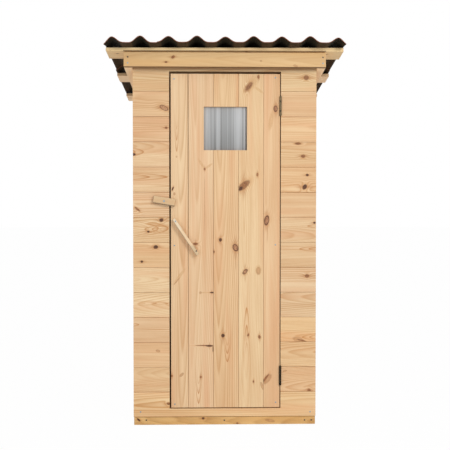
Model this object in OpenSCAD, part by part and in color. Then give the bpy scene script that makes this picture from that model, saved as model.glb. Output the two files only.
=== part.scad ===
// Wooden outhouse: a timber base, four board-clad frame walls, a ledged door
// with a small window, and a lean-to roof of corrugated sheets.
// Millimetres. +Z is up, the door faces -Y, and the origin is the middle of the base on the ground.

/* [Body] */
// Width over the side cladding
body_w = 1000; // [900:10:1400]
// Depth over the front and rear cladding
body_d = 1000; // [900:10:1400]
// Height of the front wall's top above the ground
front_h = 2025; // [2010:1:2400]
// Thickness of the cladding and door boards
board_t = 20; // [16:1:26]
// Section of the square wall frame timbers
frame_s = 45; // [36:1:60]

/* [Base] */
// Height of the base timbers
base_h = 45; // [36:1:70]
// Width of the base timbers, which lie flat
base_w = 95; // [80:1:120]
// Inset of the base behind the cladding
base_inset = 2; // [0:0.5:10]
// Thickness of the floor boards
floor_t = 20; // [16:1:28]

/* [Roof] */
// Slope of the roof down to the rear, in degrees
roof_pitch = 5.5; // [2:0.5:8]
// Thickness of a rafter
rafter_t = 42; // [30:1:60]
// Depth of a rafter, square to the roof
rafter_h = 85; // [60:1:120]
// Reach of a rafter past the front or rear wall
rafter_reach = 40; // [20:1:80]
// Thickness of a fascia board
fascia_t = 20; // [16:1:26]
// Height of a fascia board
fascia_h = 79; // [60:1:100]
// Drop of a fascia below the roof battens
fascia_drop = 4; // [2:0.5:10]
// Width of a roof batten
batten_w = 145; // [90:1:160]
// Thickness of a roof batten
batten_t = 18; // [16:1:30]
// Reach of the battens past the rafters
batten_reach = 95; // [40:1:140]

/* [Roof sheets] */
// Overhang of the sheets past the front and rear battens
sheet_overhang = 84; // [40:1:120]
// Overhang of the sheets past the ends of the battens
sheet_side = 2; // [0:1:40]
// Extra reach of the rear sheet on the left
rear_sheet_step = 3; // [0:1:30]
// Overlap of the front sheet on the rear one
sheet_overlap = 230; // [150:5:320]
// Thickness of a sheet
sheet_t = 3.5; // [2.5:0.5:6]
// Distance from crest to crest
wave_pitch = 149; // [130:1:180]
// Height of a fastened crest
wave_h = 30; // [24:1:40]
// Extra height of the crests between the fastened ones
loose_crest = 6; // [0:0.5:8]

/* [Door] */
// Width of the doorway
opening_w = 608; // [520:1:700]
// Height of the front wall over the doorway
head_h = 96; // [90:1:160]
// Sideways shift of the doorway from the middle
opening_shift = 2; // [0:0.5:20]
// Gap at the latch side of the door
latch_gap = 8; // [5:0.5:12]
// Gap at the hinge side of the door
hinge_gap = 5; // [5:0.5:9]
// Gap over the door
top_gap = 8; // [5:0.5:14]
// Gap under the door
bottom_gap = 6; // [5:0.5:12]
// Height of a door ledge
ledge_h = 45; // [40:1:90]
// Thickness of a door ledge
ledge_t = 20; // [16:1:30]
// Setback of a ledge's ends from the door's edges
ledge_setback = 9; // [6:1:30]
// Place of the middle ledge, as a share of the door's height
middle_ledge_share = 0.487; // [0.4:0.001:0.6]
// Width of the stop on the latch post
stop_w = 30; // [22:1:40]

/* [Window] */
// Side of the square window
window_s = 236; // [160:1:300]
// Distance from the top of the door to the window
window_drop = 178; // [120:1:260]
// Thickness of the window pane
pane_t = 6; // [4:0.5:10]
// Lap of the pane behind the boards round the window
pane_lap = 20; // [12:1:40]

/* [Hinges] */
// Length of a hinge
hinge_l = 105; // [80:1:130]
// Distance of a hinge's centre from the end of the door
hinge_inset = 175; // [120:1:220]
// Diameter of the hinge barrel
barrel_d = 12; // [11:0.5:16]
// Thickness of a hinge leaf
leaf_t = 2; // [1.5:0.1:2.4]
// Width of a hinge leaf from the barrel's axis
leaf_w = 30; // [24:1:40]
// Diameter of the hinge pin
pin_d = 6; // [5:0.5:8]

/* [Latch] */
// Length of the turn button
button_l = 120; // [90:1:150]
// Height of the turn button
button_h = 40; // [30:1:50]
// Thickness of the turn button
button_t = 20; // [14:1:28]
// Tilt of the turn button, door end down, in degrees
button_tilt = 9.5; // [0:0.5:20]
// Distance of the turn button's screw from the doorway
button_setback = 28; // [22:0.5:40]
// Place of the turn button's screw, as a share of the door's height
button_share = 0.621; // [0.5:0.001:0.7]
// Diameter of the turn button's screw
screw_d = 6; // [4:0.5:8]
// Diameter of the screw's head
screw_head_d = 11; // [9:0.5:14]
// Diameter of the collar behind the turn button
collar_d = 18; // [14:0.5:26]

/* [Handle] */
// Length of the handle bar
handle_l = 236; // [180:1:300]
// Width of the handle bar
handle_w = 18; // [14:1:30]
// Thickness of the handle bar
handle_t = 20; // [14:1:30]
// Lean of the handle from upright, in degrees
handle_lean = 34; // [0:1:45]
// Distance of the handle's middle from the latch edge of the door
handle_in = 81; // [70:1:140]
// Place of the handle's middle, as a share of the door's height
handle_share = 0.514; // [0.4:0.001:0.6]
// Length of the spacer under each end of the handle
spacer_l = 38; // [24:1:60]
// Thickness of a spacer
spacer_t = 18; // [12:1:30]

/* [Hidden] */
$fn = 64;

// Colours
pine = [0.89, 0.75, 0.57];
door_pine = [0.92, 0.79, 0.62];
frame_pine = [0.88, 0.76, 0.60];
sill_pine = [0.85, 0.68, 0.44];
bitumen = [0.17, 0.13, 0.11];
zinc = [0.48, 0.44, 0.36];
clear_sheet = [0.68, 0.69, 0.70];

// Clearances, overruns and small sizes
cut = 1;               // overrun of every cut
lay_gap = 0.3;         // gap between two sheets that lie on each other
seat_gap = 0.1;        // gap under each timber or sheet that lies on the slope
pin_clear = 0.05;      // radial running clearance of a pin or screw
knuckle_gap = 0.5;     // gap between two knuckles, and from barrel to face
button_gap = 5;        // gap behind the turn button, taken up by a collar on its screw
screw_head_t = 2.5;    // thickness of the turn button's screw head
pin_head_t = 3;        // thickness of the hinge pin's head
pin_head_over = 1.5;   // reach of the pin's head past the pin
stop_gap = 5;          // gap between the door's ledges and the stop

end_knuckle_share = 0.25;  // share of a hinge's length in each end knuckle
// Places of the points on one side of a crest, as shares of the pitch
crest_shares = [0, 0.06, 0.12, 0.18, 0.24, 0.3, 0.38, 0.5];

// Planes of the body
front_y = -body_d / 2;
rear_y = body_d / 2;
left_x = -body_w / 2;
right_x = body_w / 2;
frame_front = front_y + board_t;
frame_rear = rear_y - board_t;
frame_left = left_x + board_t;
frame_right = right_x - board_t;
base_front = front_y + base_inset;
base_rear = rear_y - base_inset;
base_left = left_x + base_inset;
base_right = right_x - base_inset;

// The roof plane is the underside of the battens.
function roof_z(y) = front_h - (y - front_y) * tan(roof_pitch);

// Doorway and door
opening_left = opening_shift - opening_w / 2;
opening_right = opening_shift + opening_w / 2;
opening_bottom = base_h + frame_s;
opening_top = front_h - head_h;
door_left = opening_left + latch_gap;
door_right = opening_right - hinge_gap;
door_bottom = opening_bottom + bottom_gap;
door_top = opening_top - top_gap;
door_back = front_y + board_t;
window_x = (door_left + door_right) / 2;
window_top = door_top - window_drop;
door_h = door_top - door_bottom;
middle_ledge_z = door_bottom + door_h * middle_ledge_share - ledge_h / 2;
ledge_zs = [door_bottom, middle_ledge_z, door_top - ledge_h];

// Hinges
hinge_x = door_right + hinge_gap / 2;
hinge_y = front_y - barrel_d / 2 - knuckle_gap;
upper_hinge_z = door_top - hinge_inset;
lower_hinge_z = door_bottom + hinge_inset;
end_knuckle = hinge_l * end_knuckle_share;

// Latch and handle
button_x = opening_left - button_setback;
button_z = door_bottom + door_h * button_share;
button_back = front_y - button_gap;
button_front = button_back - button_t;
handle_x = door_left + handle_in;
handle_z = door_bottom + door_h * handle_share;

// Rafters and fascias
rafter_front = front_y - rafter_reach;
rafter_rear = rear_y + rafter_reach;
rafter_drop = rafter_h / cos(roof_pitch);
rafter_out = body_w / 2 + rafter_t;

// Along the slope, from the front edge of the front sheet
batten_l = 2 * (rafter_out + batten_reach);
eave_y = rafter_front - fascia_t - sheet_overhang;
slope_l = -2 * eave_y / cos(roof_pitch);
front_batten_s = sheet_overhang / cos(roof_pitch);
middle_batten_s = (slope_l - batten_w) / 2;
rear_batten_s = slope_l - front_batten_s - batten_w;
sheet_l = (slope_l + sheet_overlap) / 2;
rear_sheet_s = slope_l - sheet_l;
sheet_half = batten_l / 2 + sheet_side;
sheet_lift = asin((sheet_t + lay_gap) / (rear_sheet_s - front_batten_s));

// A straight timber between two opposite corners
module timber(low, high) {
    translate(low) cube(high - low);
}

// An upright timber or wall between two X and two Y planes, cut off by the roof plane
module upright(x, y, bottom) {
    roof_cut(x, y, [bottom, bottom]);
}

// A timber whose top follows the roof plane and whose bottom runs between two heights
module roof_cut(x, y, bottoms) {
    translate([x[0], 0, 0]) rotate([90, 0, 90]) linear_extrude(height = x[1] - x[0])
        polygon([[y[0], bottoms[0]], [y[1], bottoms[1]], [y[1], roof_z(y[1])], [y[0], roof_z(y[0])]]);
}

// A timber that follows the roof plane, with its given depth straight down
module sloped(x, y, depth) {
    roof_cut(x, y, [roof_z(y[0]) - depth, roof_z(y[1]) - depth]);
}

// Places children on the roof plane, with Y down the slope from the front eave
module on_roof() {
    translate([0, eave_y, roof_z(eave_y) + seat_gap]) rotate([-roof_pitch, 0, 0]) children();
}

// Base
module cross_sill(y) {
    color(sill_pine) timber([base_left, y, 0], [base_right, y + base_w, base_h]);
}

module joist(x) {
    color(sill_pine) timber([x, base_front + base_w, 0], [x + base_w, base_rear - base_w, base_h]);
}

module front_sill() { cross_sill(base_front); }
module rear_sill() { cross_sill(base_rear - base_w); }
module left_joist() { joist(base_left); }
module middle_joist() { joist(-base_w / 2); }
module right_joist() { joist(base_right - base_w); }

module floor() {
    color(frame_pine) timber(
        [frame_left + frame_s, frame_front + frame_s, base_h],
        [frame_right - frame_s, frame_rear - frame_s, base_h + floor_t]);
}

// Wall frames
module corner_post(x, y) {
    color(frame_pine) upright([x, x + frame_s], [y, y + frame_s], base_h);
}

module front_left_post() { corner_post(frame_left, frame_front); }
module front_right_post() { corner_post(frame_right - frame_s, frame_front); }
module rear_left_post() { corner_post(frame_left, frame_rear - frame_s); }
module rear_right_post() { corner_post(frame_right - frame_s, frame_rear - frame_s); }

module door_posts() {
    color(frame_pine) for (x = [opening_left - frame_s, opening_right])
        timber([x, frame_front, opening_bottom],
               [x + frame_s, frame_front + frame_s, opening_top]);
}

// A lath on the latch post that the ledges close against
module door_stop() {
    color(frame_pine) timber(
        [opening_left, door_back + ledge_t + stop_gap, opening_bottom],
        [opening_left + stop_w, frame_front + frame_s, opening_top]);
}

// A level rail between the corner posts of the front or rear frame
module cross_rail(y, z) {
    color(frame_pine) timber(
        [frame_left + frame_s, y, z], [frame_right - frame_s, y + frame_s, z + frame_s]);
}

module front_bottom_rail() { cross_rail(frame_front, base_h); }
module rear_bottom_rail() { cross_rail(frame_rear - frame_s, base_h); }
module front_top_rail() { cross_rail(frame_front, opening_top); }
module rear_top_rail() { cross_rail(frame_rear - frame_s, roof_z(frame_rear) - frame_s); }

module side_bottom_rails() {
    color(frame_pine) for (x = [frame_left, frame_right - frame_s])
        timber([x, frame_front + frame_s, base_h],
               [x + frame_s, frame_rear - frame_s, base_h + frame_s]);
}

module side_top_rails() {
    color(frame_pine) for (x = [frame_left, frame_right - frame_s])
        sloped([x, x + frame_s], [frame_front + frame_s, frame_rear - frame_s], frame_s);
}

// Cladding
module front_panel(x) {
    color(pine) upright(x, [front_y, frame_front], base_h);
}

module front_wall_left() { front_panel([left_x, opening_left]); }
module front_wall_right() { front_panel([opening_right, right_x]); }

module front_wall_head() {
    color(pine) upright([opening_left, opening_right], [front_y, frame_front], opening_top);
}

module front_wall_foot() {
    color(pine) timber([opening_left, front_y, base_h], [opening_right, frame_front, opening_bottom]);
}

module side_wall(x) {
    color(pine) upright([x, x + board_t], [frame_front, frame_rear], base_h);
}

module left_wall() { side_wall(left_x); }
module right_wall() { side_wall(frame_right); }

module rear_wall() {
    color(pine) upright([left_x, right_x], [frame_rear, rear_y], base_h);
}

// Roof timbers
module rafter(x) {
    color(frame_pine) sloped([x, x + rafter_t], [rafter_front, rafter_rear], rafter_drop);
}

module left_rafter() { rafter(left_x - rafter_t); }
module right_rafter() { rafter(right_x); }

// A fascia across the rafter ends, hung below the roof plane at its lower face
module fascia(y, top) {
    color(pine) timber([-rafter_out, y, top - fascia_h], [rafter_out, y + fascia_t, top]);
}

module front_fascia() { fascia(rafter_front - fascia_t, roof_z(rafter_front) - fascia_drop); }
module rear_fascia() { fascia(rafter_rear, roof_z(rafter_rear + fascia_t) - fascia_drop); }

module batten(s) {
    color(frame_pine) on_roof() timber([-batten_l / 2, s, 0], [batten_l / 2, s + batten_w, batten_t]);
}

module front_batten() { batten(front_batten_s); }
module middle_batten() { batten(middle_batten_s); }
module rear_batten() { batten(rear_batten_s); }

// Roof sheets: every second crest is fastened down, and the others stand higher
function crest_h(k) = wave_h + (abs(k) % 2 == 1 ? loose_crest : 0);
function wave_z(x) =
    let (k = round(x / wave_pitch))
    crest_h(k) * pow(cos(180 * (x / wave_pitch - k)), 4);

// Points across a sheet: its two edges, and the round of each crest between them
last_share = len(crest_shares) - 1;
function sheet_xs(left, right) =
    let (last = ceil(max(-left, right) / wave_pitch))
    concat(
        [left],
        [for (k = [-last : last], i = [1 - last_share : last_share])
            let (x = wave_pitch * (k + sign(i) * crest_shares[abs(i)]))
            if (x > left && x < right) x],
        [right]);

module corrugated(left, right, l) {
    xs = sheet_xs(left, right);
    under = [for (x = xs) [x, wave_z(x)]];
    over = [for (i = [len(xs) - 1 : -1 : 0]) [xs[i], wave_z(xs[i]) + sheet_t]];
    color(bitumen) translate([0, l, 0]) rotate([90, 0, 0]) linear_extrude(height = l)
        polygon(concat(under, over));
}

// The front sheet rests on the front batten's edge and on the rear sheet.
module front_roof_sheet() {
    on_roof() translate([0, front_batten_s, batten_t + seat_gap]) rotate([sheet_lift, 0, 0])
        translate([0, -front_batten_s, 0]) corrugated(-sheet_half, sheet_half, sheet_l);
}

module rear_roof_sheet() {
    on_roof() translate([0, rear_sheet_s, batten_t + seat_gap])
        corrugated(-sheet_half - rear_sheet_step, sheet_half, sheet_l);
}

// Door
module door_leaf() {
    color(door_pine) difference() {
        timber([door_left, front_y, door_bottom], [door_right, door_back, door_top]);
        timber([window_x - window_s / 2, front_y - cut, window_top - window_s],
               [window_x + window_s / 2, door_back + cut, window_top]);
    }
}

module door_ledges() {
    color(frame_pine) for (z = ledge_zs)
        timber([door_left + ledge_setback, door_back, z],
               [door_right - ledge_setback, door_back + ledge_t, z + ledge_h]);
}

module window_pane() {
    reach = window_s / 2 + pane_lap;
    color(clear_sheet) translate([window_x, door_back, window_top - window_s / 2])
        timber([-reach, 0, -reach], [reach, pane_t, reach]);
}

// Places children on the door's face at the handle, with Z along the bar and -Y outwards
module at_handle() {
    translate([handle_x, front_y, handle_z]) rotate([0, -handle_lean, 0]) children();
}

module door_handle() {
    color(frame_pine) at_handle()
        timber([-handle_w / 2, -spacer_t - handle_t, -handle_l / 2], [handle_w / 2, -spacer_t, handle_l / 2]);
}

module handle_spacers() {
    color(frame_pine) at_handle() for (z = [-handle_l / 2, handle_l / 2 - spacer_l])
        timber([-handle_w / 2, -spacer_t, z], [handle_w / 2, 0, z + spacer_l]);
}

// Latch
module at_button() {
    translate([button_x, front_y, button_z]) rotate([90, button_tilt, 0]) children();
}

module turn_button() {
    color(pine) at_button() difference() {
        timber([-button_l / 2, -button_h / 2, button_gap], [button_l / 2, button_h / 2, button_gap + button_t]);
        cylinder(h = button_gap + button_t + cut, d = screw_d + 2 * pin_clear);
    }
}

module turn_button_screw() {
    color(zinc) at_button() {
        translate([0, 0, -board_t]) cylinder(h = board_t + button_gap + button_t + lay_gap, d = screw_d);
        translate([0, 0, button_gap + button_t + lay_gap]) cylinder(h = screw_head_t, d = screw_head_d);
        cylinder(h = button_gap - lay_gap, d = collar_d);
    }
}

// Hinges: the barrel stands in front of the gap, and the leaves run back into it
module at_hinge(z) {
    translate([hinge_x, hinge_y, z - hinge_l / 2]) children();
}

// One leaf with its knuckles; side is 1 towards the wall and -1 towards the door
module hinge_leaf(side, knuckles) {
    inner = hinge_gap / 2 - leaf_t;
    low = side > 0 ? inner : -inner - leaf_t;
    barrel_r = barrel_d / 2;
    color(zinc) difference() {
        union() {
            translate([low, barrel_r + knuckle_gap, 0]) cube([leaf_t, leaf_w - barrel_r - knuckle_gap, hinge_l]);
            for (k = knuckles) {
                translate([0, 0, k[0]]) cylinder(h = k[1] - k[0], r = barrel_r);
                translate([low, 0, k[0]]) cube([leaf_t, barrel_r + 2 * knuckle_gap, k[1] - k[0]]);
            }
        }
        translate([0, 0, -cut]) cylinder(h = hinge_l + 2 * cut, d = pin_d + 2 * pin_clear);
    }
}

module hinge_pin() {
    color(zinc) {
        cylinder(h = hinge_l + lay_gap, d = pin_d);
        translate([0, 0, hinge_l + lay_gap]) cylinder(h = pin_head_t, d = pin_d + 2 * pin_head_over);
    }
}

module wall_hinge(z) {
    at_hinge(z) {
        hinge_leaf(1, [[0, end_knuckle], [hinge_l - end_knuckle, hinge_l]]);
        hinge_pin();
    }
}

module door_hinge(z) {
    at_hinge(z) hinge_leaf(-1, [[end_knuckle + knuckle_gap, hinge_l - end_knuckle - knuckle_gap]]);
}

module upper_hinge_wall_leaf() { wall_hinge(upper_hinge_z); }
module upper_hinge_door_leaf() { door_hinge(upper_hinge_z); }
module lower_hinge_wall_leaf() { wall_hinge(lower_hinge_z); }
module lower_hinge_door_leaf() { door_hinge(lower_hinge_z); }

front_sill();
rear_sill();
left_joist();
middle_joist();
right_joist();
floor();
front_left_post();
front_right_post();
rear_left_post();
rear_right_post();
door_posts();
door_stop();
front_bottom_rail();
rear_bottom_rail();
side_bottom_rails();
front_top_rail();
rear_top_rail();
side_top_rails();
front_wall_left();
front_wall_right();
front_wall_head();
front_wall_foot();
left_wall();
right_wall();
rear_wall();
left_rafter();
right_rafter();
front_fascia();
rear_fascia();
front_batten();
middle_batten();
rear_batten();
front_roof_sheet();
rear_roof_sheet();
door_leaf();
door_ledges();
window_pane();
door_handle();
handle_spacers();
turn_button();
turn_button_screw();
upper_hinge_wall_leaf();
upper_hinge_door_leaf();
lower_hinge_wall_leaf();
lower_hinge_door_leaf();
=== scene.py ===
import bpy
import math
import random
from mathutils import Matrix, Vector


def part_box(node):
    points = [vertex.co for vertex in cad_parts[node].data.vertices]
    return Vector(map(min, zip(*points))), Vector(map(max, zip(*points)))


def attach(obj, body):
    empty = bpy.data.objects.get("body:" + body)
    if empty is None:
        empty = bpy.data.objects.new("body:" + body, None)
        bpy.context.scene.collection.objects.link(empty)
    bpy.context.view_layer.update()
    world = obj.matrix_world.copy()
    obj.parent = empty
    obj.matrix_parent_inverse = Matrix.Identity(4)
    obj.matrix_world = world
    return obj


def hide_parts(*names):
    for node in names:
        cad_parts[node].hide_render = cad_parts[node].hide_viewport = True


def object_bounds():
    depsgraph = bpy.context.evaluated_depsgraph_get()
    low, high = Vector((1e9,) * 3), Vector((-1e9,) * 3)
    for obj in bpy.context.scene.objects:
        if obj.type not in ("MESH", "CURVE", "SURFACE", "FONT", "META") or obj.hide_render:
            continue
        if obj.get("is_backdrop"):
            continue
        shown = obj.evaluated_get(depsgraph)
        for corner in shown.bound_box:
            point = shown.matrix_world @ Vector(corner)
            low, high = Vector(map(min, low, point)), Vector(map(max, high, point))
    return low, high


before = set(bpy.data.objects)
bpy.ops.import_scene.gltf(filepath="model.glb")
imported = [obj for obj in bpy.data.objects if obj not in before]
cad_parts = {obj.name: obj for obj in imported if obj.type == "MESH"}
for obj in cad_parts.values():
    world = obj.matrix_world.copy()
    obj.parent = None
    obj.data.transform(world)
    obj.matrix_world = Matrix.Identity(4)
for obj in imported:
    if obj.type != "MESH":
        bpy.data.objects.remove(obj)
cadLow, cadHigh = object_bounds()
print("frame loaded,", len(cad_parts), "nodes")


# small modelling helpers

easing = dict(segments=2, sharp=0.6, smooth=0.7, topSegments=3)


def setMode(mode):
    bpy.ops.object.mode_set(mode=mode)


def deselectAll():
    if bpy.context.mode != "OBJECT":
        setMode("OBJECT")
    bpy.ops.object.select_all(action="DESELECT")


def pickOnly(obj):
    deselectAll()
    obj.select_set(True)
    bpy.context.view_layer.objects.active = obj


def settle(obj):  # the place goes into the mesh
    pickOnly(obj)
    bpy.ops.object.transform_apply(location=True, rotation=True, scale=True)


def addThing(name, operator, **settings):
    deselectAll()
    operator(**settings)
    bpy.context.object.name = name
    return bpy.context.object


def addBox(name, low, high):
    low, high = Vector(low), Vector(high)
    obj = addThing(name, bpy.ops.mesh.primitive_cube_add, size=1, location=(low + high) / 2)
    obj.scale = high - low
    settle(obj)
    return obj


def addRod(name, wide, bottom, top, sides=28, caps="NGON"):
    obj = addThing(name, bpy.ops.mesh.primitive_cylinder_add, vertices=sides, radius=wide / 2,
        depth=top - bottom, location=(0, 0, (bottom + top) / 2), end_fill_type=caps)
    settle(obj)
    return obj


def applyModifier(obj, kind, **settings):
    pickOnly(obj)
    modifier = obj.modifiers.new(kind.title(), kind)
    for key, value in settings.items():
        setattr(modifier, key, value)
    bpy.ops.object.modifier_apply(modifier=modifier.name)


def repeat(obj, count, step):
    applyModifier(obj, "ARRAY", count=count, use_relative_offset=False, use_constant_offset=True,
        constant_offset_displace=step)


def easeEdges(obj, width):
    applyModifier(obj, "BEVEL", width=width, segments=easing["segments"], limit_method="ANGLE",
        angle_limit=easing["sharp"])
    bpy.ops.object.shade_smooth_by_angle(angle=easing["smooth"])


def editMesh(obj, kind):  # ready for a choice, with nothing selected
    pickOnly(obj)
    setMode("EDIT")
    bpy.ops.mesh.select_mode(type=kind)
    bpy.ops.mesh.select_all(action="DESELECT")
    setMode("OBJECT")


def chooseFaces(obj, test):
    editMesh(obj, "FACE")
    for face in obj.data.polygons:
        face.select = test(face.center, face.normal)
    setMode("EDIT")


def chooseEdges(obj, test):
    editMesh(obj, "EDGE")
    points = obj.data.vertices
    for edge in obj.data.edges:
        edge.select = test(points[edge.vertices[0]].co, points[edge.vertices[1]].co)
    setMode("EDIT")


def bevelChosen(width, segments):
    bpy.ops.mesh.bevel(offset=width, offset_type="OFFSET", segments=segments, affect="EDGES")
    setMode("OBJECT")


def roundTop(obj, by):
    peak = max(point.co.z for point in obj.data.vertices)
    chooseEdges(obj, lambda p, q: min(p.z, q.z) > peak - 1e-5)
    bevelChosen(by, easing["topSegments"])
    pickOnly(obj)
    bpy.ops.object.shade_smooth_by_angle(angle=easing["smooth"])


def bisect(obj, point, normal, **settings):
    pickOnly(obj)
    setMode("EDIT")
    bpy.ops.mesh.select_all(action="SELECT")
    bpy.ops.mesh.bisect(plane_co=point, plane_no=normal, **settings)
    setMode("OBJECT")


def cutAway(obj, point, normal):  # takes off what lies beyond a plane, and closes the cut
    bisect(obj, point, normal, use_fill=True, clear_outer=True)


def splitAt(obj, point, normal, place=Matrix()):  # a plane's edges go into the mesh, and both sides stay
    point, normal = place @ Vector(point), place.to_3x3() @ Vector(normal)
    bisect(obj, point, normal)
    return point, normal


def drop(*objs):
    for obj in objs:
        bpy.data.objects.remove(obj, do_unlink=True)


def subtract(obj, cutter):
    applyModifier(obj, "BOOLEAN", object=cutter, operation="DIFFERENCE", solver="EXACT")
    drop(cutter)


def cutOut(obj, low, high):  # a box-shaped hole
    subtract(obj, addBox("cutter", low, high))


def copyOf(obj, name, matrix):
    made = bpy.data.objects.new(name, obj.data.copy())
    bpy.context.collection.objects.link(made)
    made.data.transform(matrix)
    return made


def joinAll(objs, name):
    deselectAll()
    for obj in objs:
        obj.select_set(True)
    bpy.context.view_layer.objects.active = objs[0]
    if len(objs) > 1:
        bpy.ops.object.join()
    objs[0].name = name
    return objs[0]


# shader maths

def byMaths(operation):
    return lambda self, *others: self.maths(operation, *others)


class Wire:
    def __init__(self, tree, socket=None):
        self.tree = tree
        self.socket = socket

    def node(self, kind, settings={}, inputs={}, out=0):
        made = self.tree.nodes.new(kind)
        for key, value in settings.items():
            setattr(made, key, value)
        for key, value in inputs.items():
            if isinstance(value, Wire):
                self.tree.links.new(value.socket, made.inputs[key])
            else:
                made.inputs[key].default_value = value
        return Wire(self.tree, made.outputs[out])

    def maths(self, operation, *others):
        return self.node("ShaderNodeMath", {"operation": operation}, dict(enumerate((self,) + others)))

    __add__ = __radd__ = byMaths("ADD")
    __sub__ = byMaths("SUBTRACT")
    __mul__ = __rmul__ = byMaths("MULTIPLY")
    __truediv__ = byMaths("DIVIDE")
    __pow__ = byMaths("POWER")
    least = byMaths("MINIMUM")
    most = byMaths("MAXIMUM")
    root = byMaths("SQRT")
    absolute = byMaths("ABSOLUTE")
    fraction = byMaths("FRACT")

    def __rsub__(self, other):
        return self.maths("MULTIPLY_ADD", -1.0, other)

    def ease(self, low, high):
        return self.node("ShaderNodeMapRange", {"interpolation_type": "SMOOTHSTEP"},
            {"Value": self, "From Min": low, "From Max": high})

    def fall(self, low, high):
        return 1 - self.ease(low, high)

    def about(self, by):  # noise round its middle
        return (self - 0.5) * by

    def clamped(self):
        return self.node("ShaderNodeClamp", {}, {0: self})

    def vector(self, operation, *others, out=0):
        inputs = dict(enumerate((self,) + others))
        return self.node("ShaderNodeVectorMath", {"operation": operation}, inputs, out)

    def scaled(self, by):
        return self.vector("MULTIPLY", by)

    def length(self):
        return self.vector("LENGTH", out="Value")

    def local(self, place, lean, size):  # the same point, seen from a turned and stretched frame
        return self.node("ShaderNodeMapping", {"vector_type": "TEXTURE"},
            {"Vector": self, "Location": place, "Rotation": (0, 0, lean), "Scale": size})

    def parts(self):
        first = self.node("ShaderNodeSeparateXYZ", {}, {0: self})
        return [Wire(self.tree, out) for out in first.socket.node.outputs]

    def beside(self, out):  # another output of the same node
        return Wire(self.tree, self.socket.node.outputs[out])

    def coord(self, out="Object"):
        return self.node("ShaderNodeTexCoord", {}, {}, out)

    def attribute(self, name, out="Vector"):
        return self.node("ShaderNodeAttribute", {"attribute_name": name}, {}, out)

    def noise(self, scale, detail=2, rough=0.5):
        return self.node("ShaderNodeTexNoise", {},
            {"Vector": self.scaled(scale), "Scale": 1.0, "Detail": detail, "Roughness": rough})

    def blend(self, first, second):  # self is the factor, and plain colours are screen colours
        first, second = (value if isinstance(value, Wire) else tint(*value) for value in (first, second))
        return self.node("ShaderNodeMix", {"data_type": "RGBA"}, {0: self, 6: first, 7: second}, 2)

    def times(self, colour):
        return self.node("ShaderNodeMix", {"data_type": "RGBA", "blend_type": "MULTIPLY"},
            {0: 1.0, 6: self, 7: colour}, 2)

    def bump(self, strength, distance):  # self is the height
        return self.node("ShaderNodeBump", {}, {"Strength": strength, "Distance": distance, "Height": self},
            "Normal")


def mergeAll(wires, operation):
    best = wires[0]
    for wire in wires[1:]:
        best = best.maths(operation, wire)
    return best


def tint(red, green, blue):  # a screen colour as linear light
    def line(value):
        value /= 255
        return value / 12.92 if value <= 0.04045 else ((value + 0.055) / 1.055) ** 2.4
    return (line(red), line(green), line(blue), 1.0)


def newMaterial(name):
    made = bpy.data.materials.new(name)
    made.use_nodes = True
    tree = made.node_tree
    return made, Wire(tree), tree.nodes["Principled BSDF"]


socketNames = dict(colour="Base Color", rough="Roughness", metal="Metallic", alpha="Alpha", normal="Normal",
    gloss="Specular IOR Level")


def feed(shader, **values):
    for key, value in values.items():
        socket = shader.inputs[socketNames[key]]
        if isinstance(value, Wire):
            value.tree.links.new(value.socket, socket)
        else:
            socket.default_value = value


# pine: a solid timber pattern, with rings round a pith, and knots that push the rings aside

grainNoise = dict(  # scale along, across and in depth, then detail and roughness
    sway=((1.3, 5, 5), 1), bend=((0.9, 3, 3), 0), rings=((0.6, 22, 22), 1), strong=((0.5, 9, 9), 1),
    fibre=((9, 700, 700), 2, 0.6), streak=((1.4, 50, 50), 2, 0.55), cloud=((1.8, 13, 13), 1),
    blush=((1.1, 17, 17), 2), speckle=((170, 170, 170), 2), mottle=((75, 110, 75), 2, 0.6))
wild = dict(small=0.004, spread=0.010, stretch=0.75, scatter=0.9, far=50.0,
    shares=(("dark", 0.0, 0.4), ("red", 0.4, 0.75), ("ring", 0.75, 1.0)))
knotShape = dict(push=-0.3, tailLong=0.2, tailWide=0.9, tailReach=1.3, haloReach=2.4, haloMix=0.35,
    ragged=0.4, ringCount=13.0, rimPlace=0.9)
knotKeys = ("pale", "deep", "rim", "cover", "rimCover", "rimWide", "tailed")
knotStyles = {style: dict(zip(knotKeys, row)) for style, row in dict(
    dark=((104, 64, 42), (54, 31, 22), (58, 33, 23), 0.97, 0.6, 0.3, True),
    red=((170, 114, 72), (104, 62, 38), (106, 64, 40), 0.9, 0.5, 0.34, True),
    ring=((200, 150, 112), (124, 78, 54), (88, 50, 32), 0.85, 0.92, 0.34, True),
    hollow=((216, 174, 136), (156, 110, 80), (104, 64, 42), 0.75, 0.8, 0.26, True),
    soft=((208, 160, 114), (166, 116, 76), (160, 110, 72), 0.65, 0.4, 0.4, False),
    faint=((220, 178, 128), (200, 154, 104), (204, 158, 110), 0.55, 0.0, 0.4, False)).items()}
wallLook = dict(
    early=(242, 213, 172), late=(196, 140, 86), blush=(224, 172, 128), halo=(206, 146, 88),
    tail=(176, 116, 68), end=(182, 136, 92), arch=(190, 126, 68), endMix=0.55, archMix=1.3,
    blushMix=0.55, ringGap=0.0075, ringMix=0.85, fibreMix=0.3, streakMix=0.5, cloudMix=0.5, swell=1.2,
    sway=0.05, wander=0.012, taper=0.014, bump=0.25, wildKnots=0.0, cell=(0.34, 0.137))
doorLook = dict(wallLook, early=(242, 214, 173), late=(196, 143, 90), ringMix=0.7)
frameLook = dict(wallLook, early=(240, 212, 172), late=(200, 148, 96), end=(206, 160, 112),
    ringMix=0.7, wildKnots=0.4, cell=(0.3, 0.1))
plainLook = dict(wallLook, wildKnots=0.55)
baseLook = dict(wallLook, early=(238, 200, 140), late=(176, 126, 70), blush=(216, 168, 104),
    end=(176, 128, 70), fibreMix=0.5, streakMix=0.8)


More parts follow.
